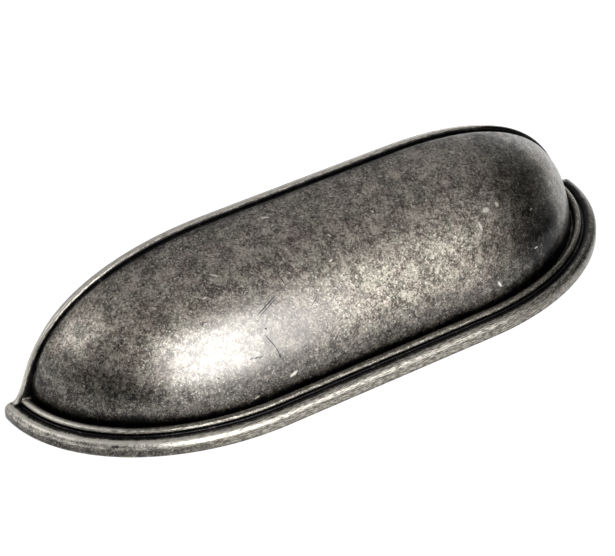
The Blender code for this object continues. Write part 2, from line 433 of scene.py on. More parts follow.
@dataclass(frozen=True)
class Shell:
    """The flange and the domed shell, as one skin swept along the outline.

    Attributes:
        outline: Outline of the foot.
        moulding: Section of the flange.
        arch: Upper edge of the dome in the lip plane.
        crest_setback: How far the crest of the dome lies behind the lip.
        lip_wall: Thickness of the wall at the lip.
        groove_width: Width of the groove beside the lip bead.
        groove_depth: Depth of that groove.
        edge_round: Rounding of the inner edge of the lip.
        edge_steps: Stretches round that edge.
        dome_steps: Stretches from the foot of the dome to the groove.
        groove_steps: Stretches across the groove.
        cavity_steps: Stretches along the inside.
        inside_patina: Depth of the patina inside.
    """

    outline: Outline = Outline()
    moulding: Moulding = Moulding()
    arch: Arch = Arch()
    crest_setback: float = 0.0011
    lip_wall: float = 0.0024
    groove_width: float = 0.0030
    groove_depth: float = 0.0005
    edge_round: float = 0.0003
    edge_steps: int = 4
    dome_steps: int = 44
    groove_steps: int = 14
    cavity_steps: int = 26
    inside_patina: float = 0.55

    @property
    def dome_half_length(self) -> float:
        """Half the length of the dome at its foot."""
        return self.outline.half_length - self.moulding.dome_offset

    @property
    def cavity_half_length(self) -> float:
        """Half the length of the hollow at the mounting face."""
        return self.outline.half_length - self.moulding.back_width

    @property
    def cavity_height(self) -> float:
        """Height of the hollow at the lip."""
        return self.arch.height - self.lip_wall

    def meridian(self, x: float, depth: float, rise: float) -> np.ndarray:
        """Draw the dome in one plane, from its foot over its crest to the lip.

        Args:
            x: Place of the plane along the pull.
            depth: How far the foot lies behind the lip plane.
            rise: How far the crest stands above the foot.

        Returns:
            The points of the meridian.
        """
        foot = self.moulding.dome_foot_height
        lip_y = self.outline.lip_y
        if depth < MERGE_DISTANCE:
            return np.tile((x, lip_y, foot), (self.dome_steps + self.groove_steps, 1))
        groove = min(self.groove_width, depth / 2)
        crest = self.crest_setback * groove / self.groove_width
        run = depth - crest
        turn = acos((groove - crest) / run)
        turns = turn * np.arange(1, self.dome_steps) / self.dome_steps
        back = np.concatenate((crest + run * np.cos(turns), np.linspace(groove, 0, self.groove_steps + 1)))
        share = np.maximum(back - crest, 0) / run
        height = foot + rise * np.sqrt(1 - share * share)
        dip = self.groove_depth * groove / self.groove_width * np.sin(pi * back / groove) ** 2
        height -= np.where(back < groove, dip, 0.0)
        return np.column_stack((np.full(len(back), x), lip_y - back, height))

    def hollow(self, x: float, depth: float, rise: float) -> np.ndarray:
        """Draw the inside in one plane, from the rounded edge of the lip to the back.

        Args:
            x: Place of the plane along the pull.
            depth: How far the back lies behind the lip plane.
            rise: Height of the inside at the lip.

        Returns:
            The points of the inside.
        """
        lip_y = self.outline.lip_y
        rounding = min(self.edge_round, depth / 4, rise / 4)
        edge = arc((lip_y - rounding, rise + rounding), rounding, 0, -pi / 2, self.edge_steps)[:-1]
        first = acos(rounding / depth) if depth > MERGE_DISTANCE else pi / 2
        turns = np.linspace(first, 0, self.cavity_steps + 1)
        inside = np.column_stack((lip_y - depth * np.cos(turns), rise * np.sin(turns)))
        both = np.concatenate((edge, inside))
        return np.column_stack((np.full(len(both), x), both))

    def skin(self) -> Skin:
        """Lay the flange, the dome, the lip and the inside as one closed skin.

        Returns:
            The skin, with a ring of points for each station of the outline.
        """
        section = self.moulding.section()
        slope = np.gradient(section, axis=0)
        slope /= np.linalg.norm(slope, axis=1, keepdims=True)
        outward = np.column_stack((-slope[:, 1], slope[:, 0]))
        points, normals, insets = self.outline.stations()
        lip_y = self.outline.lip_y
        rings = []
        patina_and_shade_rows = []
        burnish_and_highlight_rows = []
        for point, normal, inset in zip(points, normals, insets):
            drawn = section - outward * inset
            flange = np.column_stack((point + normal * drawn[:, :1], drawn[:, 1]))
            foot = point + normal * self.moulding.dome_offset
            base = self.moulding.dome_foot_height
            top = self.arch.height_at(foot[0], self.dome_half_length, base, self.arch.height)
            dome = self.meridian(foot[0], lip_y - foot[1], top - base)
            inner = point + normal * self.moulding.back_width
            ceiling = self.arch.height_at(inner[0], self.cavity_half_length, 0.0, self.cavity_height)
            hollow = self.hollow(inner[0], max(lip_y - inner[1], 0.0), ceiling)
            rings.append(np.concatenate((flange, dome, hollow, flange[:1])))
            patina_and_shade, burnish_and_highlight = self.moulding.finish(point[0])
            inside = np.full(len(hollow), self.inside_patina)
            patina_and_shade_rows.append(np.concatenate((patina_and_shade, self.dome_patina_and_shade(dome), inside, patina_and_shade[:1])))
            burnish_and_highlight_rows.append(np.concatenate((burnish_and_highlight, np.zeros(len(dome) + len(hollow) + 1))))
        places = np.array(rings)
        polished = len(section) + self.dome_steps + self.groove_steps
        raw = np.where(np.arange(places.shape[1]) < polished, 0.0, 1.0)
        middle = places[len(places) // 2]
        girth = np.concatenate(([0.0], np.cumsum(np.linalg.norm(np.diff(middle, axis=0), axis=1))))
        run = np.concatenate(([0.0], np.cumsum(np.linalg.norm(np.diff(points, axis=0), axis=1))))
        return Skin("pull_casting", places, np.array(patina_and_shade_rows), np.array(burnish_and_highlight_rows), raw, run, girth)

    def dome_patina_and_shade(self, dome: np.ndarray) -> np.ndarray:
        """Say how deep the patina and the painted shade sit on one meridian.

        It is black with patina in the crease at the foot and in the groove beside the lip bead
        (sink); towards both ends the black at the foot reaches higher. Painted shade darkens the
        dome above its foot, below its brow and towards its right end.

        Args:
            dome: The points of the meridian.

        Returns:
            The patina and the painted shade at each point.
        """
        travelled = np.concatenate(([0.0], np.cumsum(np.linalg.norm(np.diff(dome, axis=0), axis=1))))
        left = smooth_step(dome[0, 0], -0.032, -0.046)
        right = smooth_step(dome[0, 0], 0.024, 0.040)
        end = left + right
        crease = smooth_step(travelled, 0.0012 + 0.0046 * left + 0.0032 * right, -0.0003)
        # Painted shade: a darker band above the foot, a darker strip below the brow and a darker right end.
        foot = (0.48 + 0.04 * left) * smooth_step(travelled, 0.0096 + 0.0054 * end, 0.0012 + 0.0040 * end)
        back = self.outline.lip_y - dome[:, 1]
        brow = (0.28 - 0.14 * left + 0.08 * right) * smooth_step(back, 0.0115, 0.0030)
        right_end_shade = 0.44 * right * (1 - 0.9 * smooth_step(dome[0, 0], 0.0420, 0.0470))
        shade = right_end_shade + foot + brow
        sink = smooth_step(back, 0.0050 - 0.0022 * left - 0.0010 * right, 0.0018 - 0.0006 * left)
        return np.maximum(np.maximum(crease, np.minimum(shade, 1)), sink)


@dataclass(frozen=True)
class LipBead:
    """The raised bead along the lip, which sweeps out into the flange at both ends.

    Attributes:
        shell: The shell that it runs along.
        width: Width of the bead.
        setback: How far it lies behind the lip plane.
        rise: How far its crown stands above the arch at the top.
        growth: How much more it stands out towards its ends.
        growth_falloff: How quickly that growth fades on the way up.
        root: How far it reaches into the shell.
        foot_height: Height at which it starts, inside the outer bead.
        flare_height: Height over which its ends sweep out to the outer bead.
        flare_steps: Stretches along each sweep.
        arch_steps: Stretches from there to the flat top.
        crown_steps: Stretches round the crown.
    """

    shell: Shell = Shell()
    width: float = 0.0014
    setback: float = 0.0001
    rise: float = 0.0003
    growth: float = 0.0021
    growth_falloff: float = 4.0
    root: float = 0.0013
    foot_height: float = 0.0018
    flare_height: float = 0.0038
    flare_steps: int = 26
    arch_steps: int = 110
    crown_steps: int = 18

    @property
    def flare_top(self) -> float:
        """Height at which the flare starts; it lands on the crest of the outer bead."""
        moulding = self.shell.moulding
        return moulding.wall_height + moulding.outer_bead_radius + self.flare_height

    @property
    def flare_reach(self) -> float:
        """How far the flare carries the bead out, up to the crest of the outer bead."""
        moulding = self.shell.moulding
        return moulding.dome_offset - moulding.outer_bead_radius - self.rise - self.growth

    def stand(self, height: np.ndarray) -> np.ndarray:
        """Say how far the crown stands out from the arch.

        Args:
            height: Heights of places on the arch.

        Returns:
            The distance at each of them.
        """
        foot = self.shell.moulding.dome_foot_height
        share = np.clip((height - foot) / (self.shell.arch.height - foot), 0, 1)
        grown = self.rise + self.growth * (1 - share) ** self.growth_falloff
        drop = np.clip((self.flare_top - height) / self.flare_height, 0, 1)
        return grown + self.flare_reach * (1 - np.sqrt(1 - drop ** 2))

    def path(self) -> tuple[np.ndarray, np.ndarray]:
        """Walk the right half of the bead, from its foot to the start of the flat top.

        Returns:
            The points (x, z) of the arch and their normals.
        """
        arch = self.shell.arch
        foot = self.shell.moulding.dome_foot_height
        half = self.shell.dome_half_length
        heights = self.flare_top - self.flare_height * np.cos(np.linspace(0, pi / 2, self.flare_steps + 1))
        heights = np.concatenate(([self.foot_height], heights))
        angles = [arch.angle_at(max(height, foot), foot) for height in heights]
        last = angles[-1]
        angles += list(last + (pi / 2 - last) * np.arange(1, self.arch_steps + 1) / self.arch_steps)
        points, normals = arch.walk(np.array(angles), half, foot)
        below = heights <= foot
        points[:len(heights)][below] = np.column_stack((np.full(below.sum(), half), heights[below]))
        normals[:len(heights)][below] = (1.0, 0.0)
        return points, normals

    def skin(self) -> Skin:
        """Lay the bead from the left end over the top to the right end.

        Returns:
            The skin. Its crown is rubbed bright; painted shade takes over more of it towards the right end,
            and painted highlight widens it a little at the left end.
        """
        radius = (self.width - self.setback) / 2
        middle = self.shell.outline.lip_y - self.setback - radius
        points, normals = self.path()
        crowns = self.stand(points[:, 1]) - radius
        turns = np.linspace(pi, 0, self.crown_steps + 1)
        rings = []
        for point, normal, crown in zip(points, normals, crowns):
            across = np.concatenate(([middle - radius], middle + radius * np.cos(turns), [middle + radius]))
            up = np.concatenate(([-self.root], crown + radius * np.sin(turns), [-self.root]))
            plane = point + normal * up[:, None]
            rings.append(np.column_stack((plane[:, 0], across, plane[:, 1])))
        right = np.array(rings)
        left = right * np.array((-1.0, 1.0, 1.0))
        places = np.concatenate((left, right[::-1]))
        places = np.concatenate((places, places[:, :1]), axis=1)
        x = places[:, 0, 0]
        # Painted light: towards the right end the bright crest is drawn back off the crown, as painted
        # shade, and at the left end it is spread a little wider, as painted highlight.
        painted_light_turn = radians(65) * smooth_step(x, 0.036, 0.047) - radians(14) * smooth_step(x, -0.030, -0.046)
        crest = smooth_step(turns + painted_light_turn[:, None], radians(154), radians(116))
        edge = np.ones((len(x), 1))
        patina_and_shade = np.hstack((edge, 1 - crest, 0.3 * edge, edge))
        burnish_and_highlight = np.hstack((0 * edge, 0.2 + 0.7 * crest, 0.4 * edge, 0 * edge))
        centre = places.mean(axis=1)
        run = np.concatenate(([0.0], np.cumsum(np.linalg.norm(np.diff(centre, axis=0), axis=1))))
        steps = np.linalg.norm(np.diff(places[len(places) // 2], axis=0), axis=1)
        girth = np.concatenate(([0.0], np.cumsum(steps)))
        return Skin("lip_bead", places, patina_and_shade, burnish_and_highlight, np.zeros(places.shape[1]), run, girth)


@dataclass(frozen=True)
class ScrewPost:
    """A screw post inside the cup, with its blind hole.

    Attributes:
        x: Place of its axis along the pull.
        shell: The shell that it stands in.
        diameter: Diameter of the post.
        setback: How far its axis lies behind the lip plane.
        recess: How far its end lies behind the mounting face.
        hole_diameter: Diameter of the hole.
        hole_depth: Height of the bottom of the hole's round wall.
        mouth: Width of the chamfer at the mouth.
        sides: Number of flat sides of the post and of the hole.
        patina_and_shade: Depth of the patina on the post and in the hole.
    """

    x: float
    shell: Shell = Shell()
    diameter: float = 0.0085
    setback: float = 0.0080
    recess: float = 0.0002
    hole_diameter: float = 0.0033
    hole_depth: float = 0.0075
    mouth: float = 0.0006
    sides: int = 72
    patina_and_shade: float = 0.45

    @property
    def y(self) -> float:
        """Place of its axis across the pull."""
        return self.shell.outline.lip_y - self.setback

    def ceiling(self, x: float, y: float) -> float:
        """Find the inside of the dome above a place.

        Args:
            x: Place along the pull.
            y: Place across it.

        Returns:
            The height of the inside there.
        """
        shell = self.shell
        straight = shell.outline.straight_half
        run = max(abs(x) - straight, 0.0) / (shell.cavity_half_length - straight)
        depth = (shell.outline.depth - shell.moulding.back_width) * sqrt(max(1 - run * run, 0.0))
        share = min((shell.outline.lip_y - y) / depth, 1.0) if depth > MERGE_DISTANCE else 1.0
        top = shell.arch.height_at(np.array(x), shell.cavity_half_length, 0.0, shell.cavity_height)
        return float(top) * sqrt(1 - share * share)

    def build(self, finish_map: FinishMap) -> bpy.types.Object:
        """Add the post and run its upper end into the middle of the dome's wall.

        Args:
            finish_map: Where the finish of each point is noted.

        Returns:
            The post.
        """
        deselect_all()
        height = self.shell.cavity_height
        bpy.ops.mesh.primitive_cylinder_add(
            vertices=self.sides,
            radius=self.diameter / 2,
            depth=height,
            location=(self.x, self.y, self.recess + height / 2),
        )
        bpy.ops.object.transform_apply(location=True, rotation=True, scale=True)
        post = bpy.context.object
        for vertex in post.data.vertices:
            if vertex.co.z > height / 2:
                vertex.co.z = self.ceiling(vertex.co.x, vertex.co.y) + self.shell.lip_wall / 2
        self.note(post, finish_map)
        return post

    def hole(self, finish_map: FinishMap) -> bpy.types.Object:
        """Add the cutter of the hole, extruded from its chamfered mouth up to its drilled tip.

        Args:
            finish_map: Where the finish of each point is noted.

        Returns:
            The cutter.
        """
        radius = self.hole_diameter / 2
        profile = [
            (radius + 2 * self.mouth, self.recess - self.mouth),
            (radius, self.recess + self.mouth),
            (radius, self.hole_depth),
            (radius / 10, self.hole_depth + radius / 2),
        ]
        deselect_all()
        bpy.ops.mesh.primitive_circle_add(
            vertices=self.sides,
            radius=profile[0][0],
            fill_type="NGON",
            location=(self.x, self.y, profile[0][1]),
        )
        bpy.ops.object.transform_apply(location=True, rotation=True, scale=True)
        bpy.ops.object.mode_set(mode="EDIT")
        bpy.ops.mesh.select_all(action="SELECT")
        for (near, low), (far, high) in zip(profile, profile[1:]):
            bpy.ops.mesh.extrude_region_move(TRANSFORM_OT_translate={"value": (0.0, 0.0, high - low)})
            narrowing = far / near
            bpy.ops.transform.resize(
                value=(narrowing, narrowing, 1.0), center_override=(self.x, self.y, high)
            )
        bpy.ops.mesh.select_all(action="SELECT")
        bpy.ops.mesh.normals_make_consistent(inside=False)
        bpy.ops.object.mode_set(mode="OBJECT")
        cutter = bpy.context.object
        self.note(cutter, finish_map)
        return cutter

    def note(self, solid: bpy.types.Object, finish_map: FinishMap) -> None:
        """Note all of a solid as raw casting."""
        places = np.array([vertex.co for vertex in solid.data.vertices])
        finish_map.note(places, patina_and_shade=self.patina_and_shade, burnish_and_highlight=0.0, raw=1.0, run=0.0, girth=places[:, 2])


class Nodes:
    """Draws a node tree with short calls, each of which returns an output socket."""

    def __init__(self, tree: bpy.types.NodeTree) -> None:
        """Start on a tree."""
        self.tree = tree

    def add(self, kind: str, **settings: object) -> bpy.types.Node:
        """Add a node.

        Args:
            kind: Name of the node type.
            settings: Its own properties and their values.

        Returns:
            The node.
        """
        node = self.tree.nodes.new(kind)
        for name, value in settings.items():
            setattr(node, name, value)
        return node

    def feed(self, socket: Socket, value: object) -> None:
        """Link a socket to another one, or give it a constant.

        Args:
            socket: The input.
            value: What it gets.
        """
        if isinstance(value, bpy.types.NodeSocket):
            self.tree.links.new(value, socket)
        else:
            socket.default_value = value

    def math(self, operation: str, *values: Value) -> Socket:
        """Work out a number.

        Args:
            operation: Name of the operation.
            values: What it works on.

        Returns:
            The result.
        """
        node = self.add("ShaderNodeMath", operation=operation)
        for socket, value in zip(node.inputs, values):
            self.feed(socket, value)
        return node.outputs[0]

    def attribute(self, name: str) -> Socket:
        """Return the number that the mesh holds under a name."""
        return self.add("ShaderNodeAttribute", attribute_name=name).outputs["Fac"]

    def noise(self, place: Socket, grain: float, detail: float = 2.0, **settings: Value) -> Socket:
        """Draw a noise.

        Args:
            place: The coordinates.
            grain: Width of its spots.
            detail: How many finer layers it has.
            settings: The noise's other inputs.

        Returns:
            The noise, about 0.5 on average.
        """
        node = self.add("ShaderNodeTexNoise")
        self.feed(node.inputs["Vector"], place)
        node.inputs["Scale"].default_value = 1 / grain
        node.inputs["Detail"].default_value = detail
        for name, value in settings.items():
            self.feed(node.inputs[name.capitalize()], value)
        return node.outputs[0]

    def ease(self, value: Socket, low: float, high: float, start: float = 0.0, end: float = 1.0) -> Socket:
        """Ease a value from one number to another.

        Args:
            value: The value.
            low: Where the result is start.
            high: Where the result is end. It may lie below low.
            start: The first result.
            end: The last result.

        Returns:
            The eased value.
        """
        node = self.add("ShaderNodeMapRange", interpolation_type="SMOOTHSTEP")
        for socket, number in zip(node.inputs, (value, low, high, start, end)):
            self.feed(socket, number)
        return node.outputs[0]

    def blend(self, share: Value, first: object, second: object) -> Socket:
        """Blend two colours.

        Args:
            share: How much of the second colour there is.
            first: The first colour.
            second: The second colour.

        Returns:
            The colour between them.
        """
        node = self.add("ShaderNodeMix", data_type="RGBA")
        self.feed(node.inputs[0], share)
        self.feed(node.inputs[6], first)
        self.feed(node.inputs[7], second)
        return node.outputs[2]

    def placed(
        self,
        place: Socket,
        middle: Sequence[float],
        size: Sequence[float],
        turn: Sequence[float] = (0.0, 0.0, 0.0),
    ) -> Socket:
        """Look at the coordinates from a spot with a place, a turn and a size of its own.

        Args:
            place: The coordinates.
            middle: Middle of the spot.
            size: Half its size along each axis.
            turn: Its turn about each axis.

        Returns:
            The coordinates in the spot, whose length is 1 at its edge.
        """
        node = self.add("ShaderNodeMapping", vector_type="TEXTURE")
        self.feed(node.inputs["Vector"], place)
        for name, value in (("Location", middle), ("Rotation", turn), ("Scale", size)):
            node.inputs[name].default_value = value
        return node.outputs[0]

    def length(self, vector: Socket) -> Socket:
        """Return the length of a vector."""
        node = self.add("ShaderNodeVectorMath", operation="LENGTH")
        self.feed(node.inputs[0], vector)
        return node.outputs["Value"]


class MarkKind(Enum):
    """What a single mark on the dome looks like."""

    SCRATCH = "a dark hairline"
    PIT = "a dark dot or dash"
    CHIP = "a spot of bright bare metal"


@dataclass(frozen=True)
class Mark:
    """One mark of wear on the dome, with its sizes in millimetres.

    Attributes:
        kind: What it looks like.
        start: One end of it.
        end: The other end of it.
        width: Its width in the middle.
        reach: How far it goes into the metal.
        blur: Share of its half width at which it has its full strength.
        core: Where the dome's own middle lies: at this share of x, and at this y and z.
    """

    kind: MarkKind
    start: Point
    end: Point
    width: float
    reach: float = 0.8
    blur: float = 0.55
    core: Point = (0.8, 12.0, 4.0)

    def draw(self, nodes: Nodes, place: Socket) -> Socket:
        """Return 1 inside the mark and 0 outside it.

        Args:
            nodes: The tree to draw in.
            place: Object coordinates, or those shaken by a noise, for a ragged edge.

        Returns:
            The mask of the mark.
        """
        start = Vector(self.start)
        end = Vector(self.end)
        middle = (start + end) / 2
        along = (end - start).normalized()
        share, core_y, core_z = self.core
        outward = (middle - Vector((share * middle.x, core_y, core_z))).normalized()
        aside = outward.cross(along).normalized()
        turn = Matrix((along, aside, along.cross(aside))).transposed().to_euler()
        half = self.width / 2
        size = Vector(((end - start).length / 2 + half, half, self.reach))
        seen = nodes.placed(place, middle / MM_PER_M, size / MM_PER_M, turn)
        return nodes.ease(nodes.length(seen), 1.0, self.blur)


MARKS = (
    Mark(MarkKind.SCRATCH, (-15.40, -3.40, 18.20), (-21.16, -5.10, 16.30), 0.30),
    Mark(MarkKind.SCRATCH, (-15.47, -3.74, 17.89), (-20.76, -5.29, 16.10), 0.18),
    Mark(MarkKind.SCRATCH, (-20.57, -6.90, 13.82), (-19.14, -8.36, 11.06), 0.28),
    Mark(MarkKind.SCRATCH, (-19.34, -8.18, 11.46), (-18.86, -8.85, 9.80), 0.26),
    Mark(MarkKind.SCRATCH, (-8.60, -5.22, 16.17), (-11.23, -6.39, 14.63), 0.15),
    Mark(MarkKind.SCRATCH, (-5.32, 2.00, 22.16), (-4.37, 0.09, 20.96), 0.15),
    Mark(MarkKind.PIT, (-18.96, -8.79, 9.99), (-18.89, -8.95, 9.60), 0.55),
    Mark(MarkKind.PIT, (-24.44, -8.23, 10.99), (-23.61, -8.24, 11.09), 0.28),
    Mark(MarkKind.PIT, (-23.59, -8.34, 10.89), (-22.80, -8.34, 10.94), 0.36),
    Mark(MarkKind.PIT, (-22.83, -8.45, 10.70), (-22.12, -8.42, 10.79), 0.26),
    Mark(MarkKind.PIT, (-13.84, -1.75, 19.63), (-13.62, -2.60, 18.90), 0.30),
    Mark(MarkKind.PIT, (-30.10, -3.02, 17.37), (-29.69, -2.80, 17.66), 0.34),
    Mark(MarkKind.PIT, (-30.46, -7.89, 9.63), (-30.33, -8.01, 9.42), 0.38),
    Mark(MarkKind.PIT, (-20.05, -6.41, 14.58), (-19.90, -6.56, 14.34), 0.38),
    Mark(MarkKind.CHIP, (-17.76, -9.99, 5.47), (-16.40, -9.89, 6.10), 0.72),
    Mark(MarkKind.CHIP, (27.25, -3.21, 17.77), (27.85, -3.13, 17.74), 1.25),
    Mark(MarkKind.CHIP, (30.24, -2.55, 17.75), (30.40, -2.70, 17.58), 1.00),
    Mark(MarkKind.CHIP, (25.13, -4.40, 16.81), (25.17, -5.35, 15.69), 0.75),
    Mark(MarkKind.CHIP, (-10.71, 9.16, 24.65), (-9.44, 8.62, 24.58), 0.55),
    Mark(MarkKind.CHIP, (25.67, -9.52, 6.66), (26.17, -9.68, 5.68), 0.60),
    Mark(MarkKind.CHIP, (37.08, -3.32, 14.15), (37.79, -3.08, 14.03), 0.38),
    Mark(MarkKind.CHIP, (-24.90, -9.93, 4.09), (-24.07, -9.98, 4.26), 0.50),
    Mark(MarkKind.CHIP, (-4.26, -2.20, 19.25), (-3.74, -2.03, 19.40), 0.42),
    Mark(MarkKind.CHIP, (-24.82, 2.78, 22.26), (-23.57, 1.82, 21.91), 0.36),
    Mark(MarkKind.CHIP, (-27.99, -0.04, 20.23), (-27.32, -0.07, 20.31), 0.42),
    Mark(MarkKind.CHIP, (7.59, 2.61, 22.43), (7.68, 2.19, 22.24), 0.38),
    Mark(MarkKind.CHIP, (-1.98, 1.54, 21.89), (-1.84, 1.14, 21.64), 0.36),
    Mark(MarkKind.CHIP, (35.58, -6.89, 8.41), (36.35, -6.62, 8.29), 0.36),
)


@dataclass(frozen=True)
class AntiquePewter:
    """Zinc plated as antique pewter: a mottled warm grey, black in the recesses, bright on the beads.

    Attributes:
        warm: Colour of the ground in its warm patches.
        green: Colour of the ground in its greenish patches.
        worn_warm: Colour of the worn metal in the warm patches.
        worn_green: Colour of the worn metal in the greenish patches.
        highlight_patch: Painted highlight: a lighter, even colour on the belly of the dome, under the front
            lamp's highlight.
        fleck: Colour of the fine grains that the wheel has caught.
        pit: Colour of the pits, and of the patina and painted shade on the dome.
        bare: Colour of the metal where it is rubbed bright, and of the painted highlights on the beads.
        dull: Colour of the streaks in the rubbed metal.
        black: Colour of the deep patina, of the deepest painted shade and of the scratches.
        belly: Middle of the painted highlight patch.
        belly_size: Half the size of the painted highlight patch along each axis.
        patch_size: Width of a warm or greenish patch.
        cloud_size: Width of a cloud in the grain.
        curl_size: Width of a curl in the grain.
        grit_size: Width of a single grain.
        dull_size: Width of a duller spot.
        streak_length: Length of a streak on the beads.
        streak_width: Width of a streak.
        shake_size: Width of a wave in the ragged edge of a chip.
        shake: How far that edge swings from one side to the other.
        relief: Height of the grain.
        sunk_relief: How much of that height the deep patina fills; as much is taken off under the deepest
            painted shade.
        gloss: Roughness of the dome.
        lacquer: Weight of the clear lacquer.
        lacquer_gloss: Roughness of the lacquer.
        lacquer_index: Refractive index of the lacquer.
    """

    warm: Colour = (0.066, 0.047, 0.035, 1.0)
    green: Colour = (0.057, 0.050, 0.034, 1.0)
    worn_warm: Colour = (0.52, 0.46, 0.39, 1.0)
    worn_green: Colour = (0.50, 0.465, 0.385, 1.0)
    highlight_patch: Colour = (0.190, 0.182, 0.172, 1.0)
    fleck: Colour = (0.80, 0.76, 0.67, 1.0)
    pit: Colour = (0.014, 0.012, 0.010, 1.0)
    bare: Colour = (0.66, 0.63, 0.56, 1.0)
    dull: Colour = (0.095, 0.085, 0.066, 1.0)
    black: Colour = (0.019, 0.018, 0.019, 1.0)
    belly: Point = (-0.023, -0.007, 0.013)
    belly_size: Point = (0.027, 0.013, 0.0100)
    patch_size: float = 0.0045
    cloud_size: float = 0.0024
    curl_size: float = 0.00085
    grit_size: float = 0.00036
    dull_size: float = 0.0011
    streak_length: float = 0.0014
    streak_width: float = 0.00019
    shake_size: float = 0.0006
    shake: float = 0.0004
    relief: float = 0.000014
    sunk_relief: float = 0.000010
    gloss: float = 0.37
    lacquer: float = 0.7
    lacquer_gloss: float = 0.25
    lacquer_index: float = 1.7

    def material(self) -> bpy.types.Material:
        """Draw the finish as one material.

        Returns:
            The material: the dome's own colour, then what lies over it, one layer at a time.
        """
        material = bpy.data.materials.new("antique_pewter_finish")
        material.use_nodes = True
        nodes = Nodes(material.node_tree)
        shader = material.node_tree.nodes["Principled BSDF"]
        place = nodes.add("ShaderNodeTexCoord").outputs["Object"]

        grain = self.grain(nodes, place)
        unevenness = nodes.math("SUBTRACT", grain, 0.5)
        burnish_and_highlight = nodes.attribute("burnish_and_highlight")
        patina_and_shade = nodes.attribute("patina_and_shade")
        # Painted highlight: a lighter, smoother patch on the belly, where the front lamp's highlight falls;
        # it also thins the pits and the flecks there.
        highlight_patch = nodes.ease(nodes.length(nodes.placed(place, self.belly, self.belly_size)), 1.0, 0.3)
        # The next two masks carry painted light too: the first holds the painted highlights on the beads,
        # the second the deepest painted shade.
        rubbed_and_lit = nodes.ease(nodes.math("MULTIPLY_ADD", unevenness, 0.6, burnish_and_highlight), 0.1, 0.5)
        sunk_and_shade = nodes.ease(nodes.math("MULTIPLY_ADD", unevenness, -1.4, patina_and_shade), 0.30, 0.95)

        colour = self.dome_colour(nodes, place, grain, highlight_patch)
        caught, pitted = self.grit(nodes, place)
        pitted = nodes.math("MULTIPLY", pitted, nodes.math("MULTIPLY_ADD", highlight_patch, -0.6, 0.7))
        colour = nodes.blend(pitted, colour, self.pit)
        # Darkens the dome with the patina and with the painted shade.
        shaded = nodes.math("MULTIPLY", nodes.ease(patina_and_shade, 0.0, 0.5), 0.6)
        colour = nodes.blend(shaded, colour, self.pit)
        rubbed_colour = nodes.blend(self.streaks(nodes, burnish_and_highlight), self.dull, self.bare)
        colour = nodes.blend(rubbed_and_lit, colour, rubbed_colour)
        colour = nodes.blend(sunk_and_shade, colour, self.black)
        smooth = nodes.math("MAXIMUM", nodes.ease(patina_and_shade, 0.0, 1.0), burnish_and_highlight)
        smooth = nodes.math("MAXIMUM", smooth, nodes.math("MULTIPLY", highlight_patch, 0.5))
        caught = nodes.math("MULTIPLY", caught, nodes.math("MULTIPLY_ADD", smooth, -0.65, 0.65))
        colour = nodes.blend(caught, colour, self.fleck)
        chips, scratches = self.wear(nodes, place)
        colour = nodes.blend(chips, colour, self.fleck)
        colour = nodes.blend(scratches, colour, self.black)
        nodes.feed(shader.inputs["Base Color"], colour)
        shader.inputs["Metallic"].default_value = 1.0
        bared = nodes.math("MAXIMUM", nodes.math("MULTIPLY", rubbed_and_lit, 0.6), sunk_and_shade)
        coat = nodes.math("MULTIPLY_ADD", bared, -self.lacquer, self.lacquer)
        nodes.feed(shader.inputs["Coat Weight"], coat)
        shader.inputs["Coat Roughness"].default_value = self.lacquer_gloss
        shader.inputs["Coat IOR"].default_value = self.lacquer_index

        spots = nodes.noise(place, self.dull_size, 3.0)
        roughness = nodes.ease(spots, 0.3, 0.7, self.gloss - 0.05, self.gloss + 0.07)
        roughness = nodes.math("MULTIPLY_ADD", sunk_and_shade, -0.06, roughness)
        roughness = nodes.math("MULTIPLY_ADD", rubbed_and_lit, 0.04, roughness)
        roughness = nodes.math("MULTIPLY_ADD", nodes.attribute("raw"), 0.14, roughness)
        nodes.feed(shader.inputs["Roughness"], roughness)

        depth = nodes.math("MULTIPLY_ADD", sunk_and_shade, -self.sunk_relief, self.relief)
        bump = nodes.add("ShaderNodeBump")
        bump.inputs["Distance"].default_value = 1.0
        bump.inputs["Strength"].default_value = 1.0
        nodes.feed(bump.inputs["Height"], nodes.math("MULTIPLY", grain, depth))
        nodes.feed(shader.inputs["Normal"], bump.outputs[0])
        return material

    def dome_colour(self, nodes: Nodes, place: Socket, grain: Socket, highlight_patch: Socket) -> Socket:
        """Draw the metal of the dome: dark ground, and worn metal on the high spots of the grain.

        Args:
            nodes: The tree to draw in.
            place: Object coordinates.
            grain: The relief of the casting.
            highlight_patch: Share of the painted highlight patch.

        Returns:
            The colour.
        """
        patches = nodes.ease(nodes.noise(place, self.patch_size, 3.0, roughness=0.6), 0.42, 0.58)
        ground = nodes.blend(patches, self.warm, self.green)
        worn = nodes.blend(patches, self.worn_warm, self.worn_green)
        # Painted highlight: under the lamp's highlight the ground and the worn metal turn to one lighter,
        # even colour.
        ground = nodes.blend(nodes.math("MULTIPLY", highlight_patch, 0.78), ground, self.highlight_patch)
        worn = nodes.blend(nodes.math("MULTIPLY", highlight_patch, 0.65), worn, self.highlight_patch)
        return nodes.blend(nodes.ease(grain, 0.34, 0.74), ground, worn)

    def grain(self, nodes: Nodes, place: Socket) -> Socket:
        """Draw the fine relief of the casting: short curls, gathered in clouds.

        Args:
            nodes: The tree to draw in.
            place: Object coordinates.

        Returns:
            The height, about 0.5 on average.
        """
        clouds = nodes.noise(place, self.cloud_size, 3.0, roughness=0.6)
        curls = nodes.noise(place, self.curl_size, 3.0, roughness=0.7, distortion=1.6)
        return nodes.math("MULTIPLY_ADD", nodes.math("SUBTRACT", clouds, 0.5), 0.55, curls)

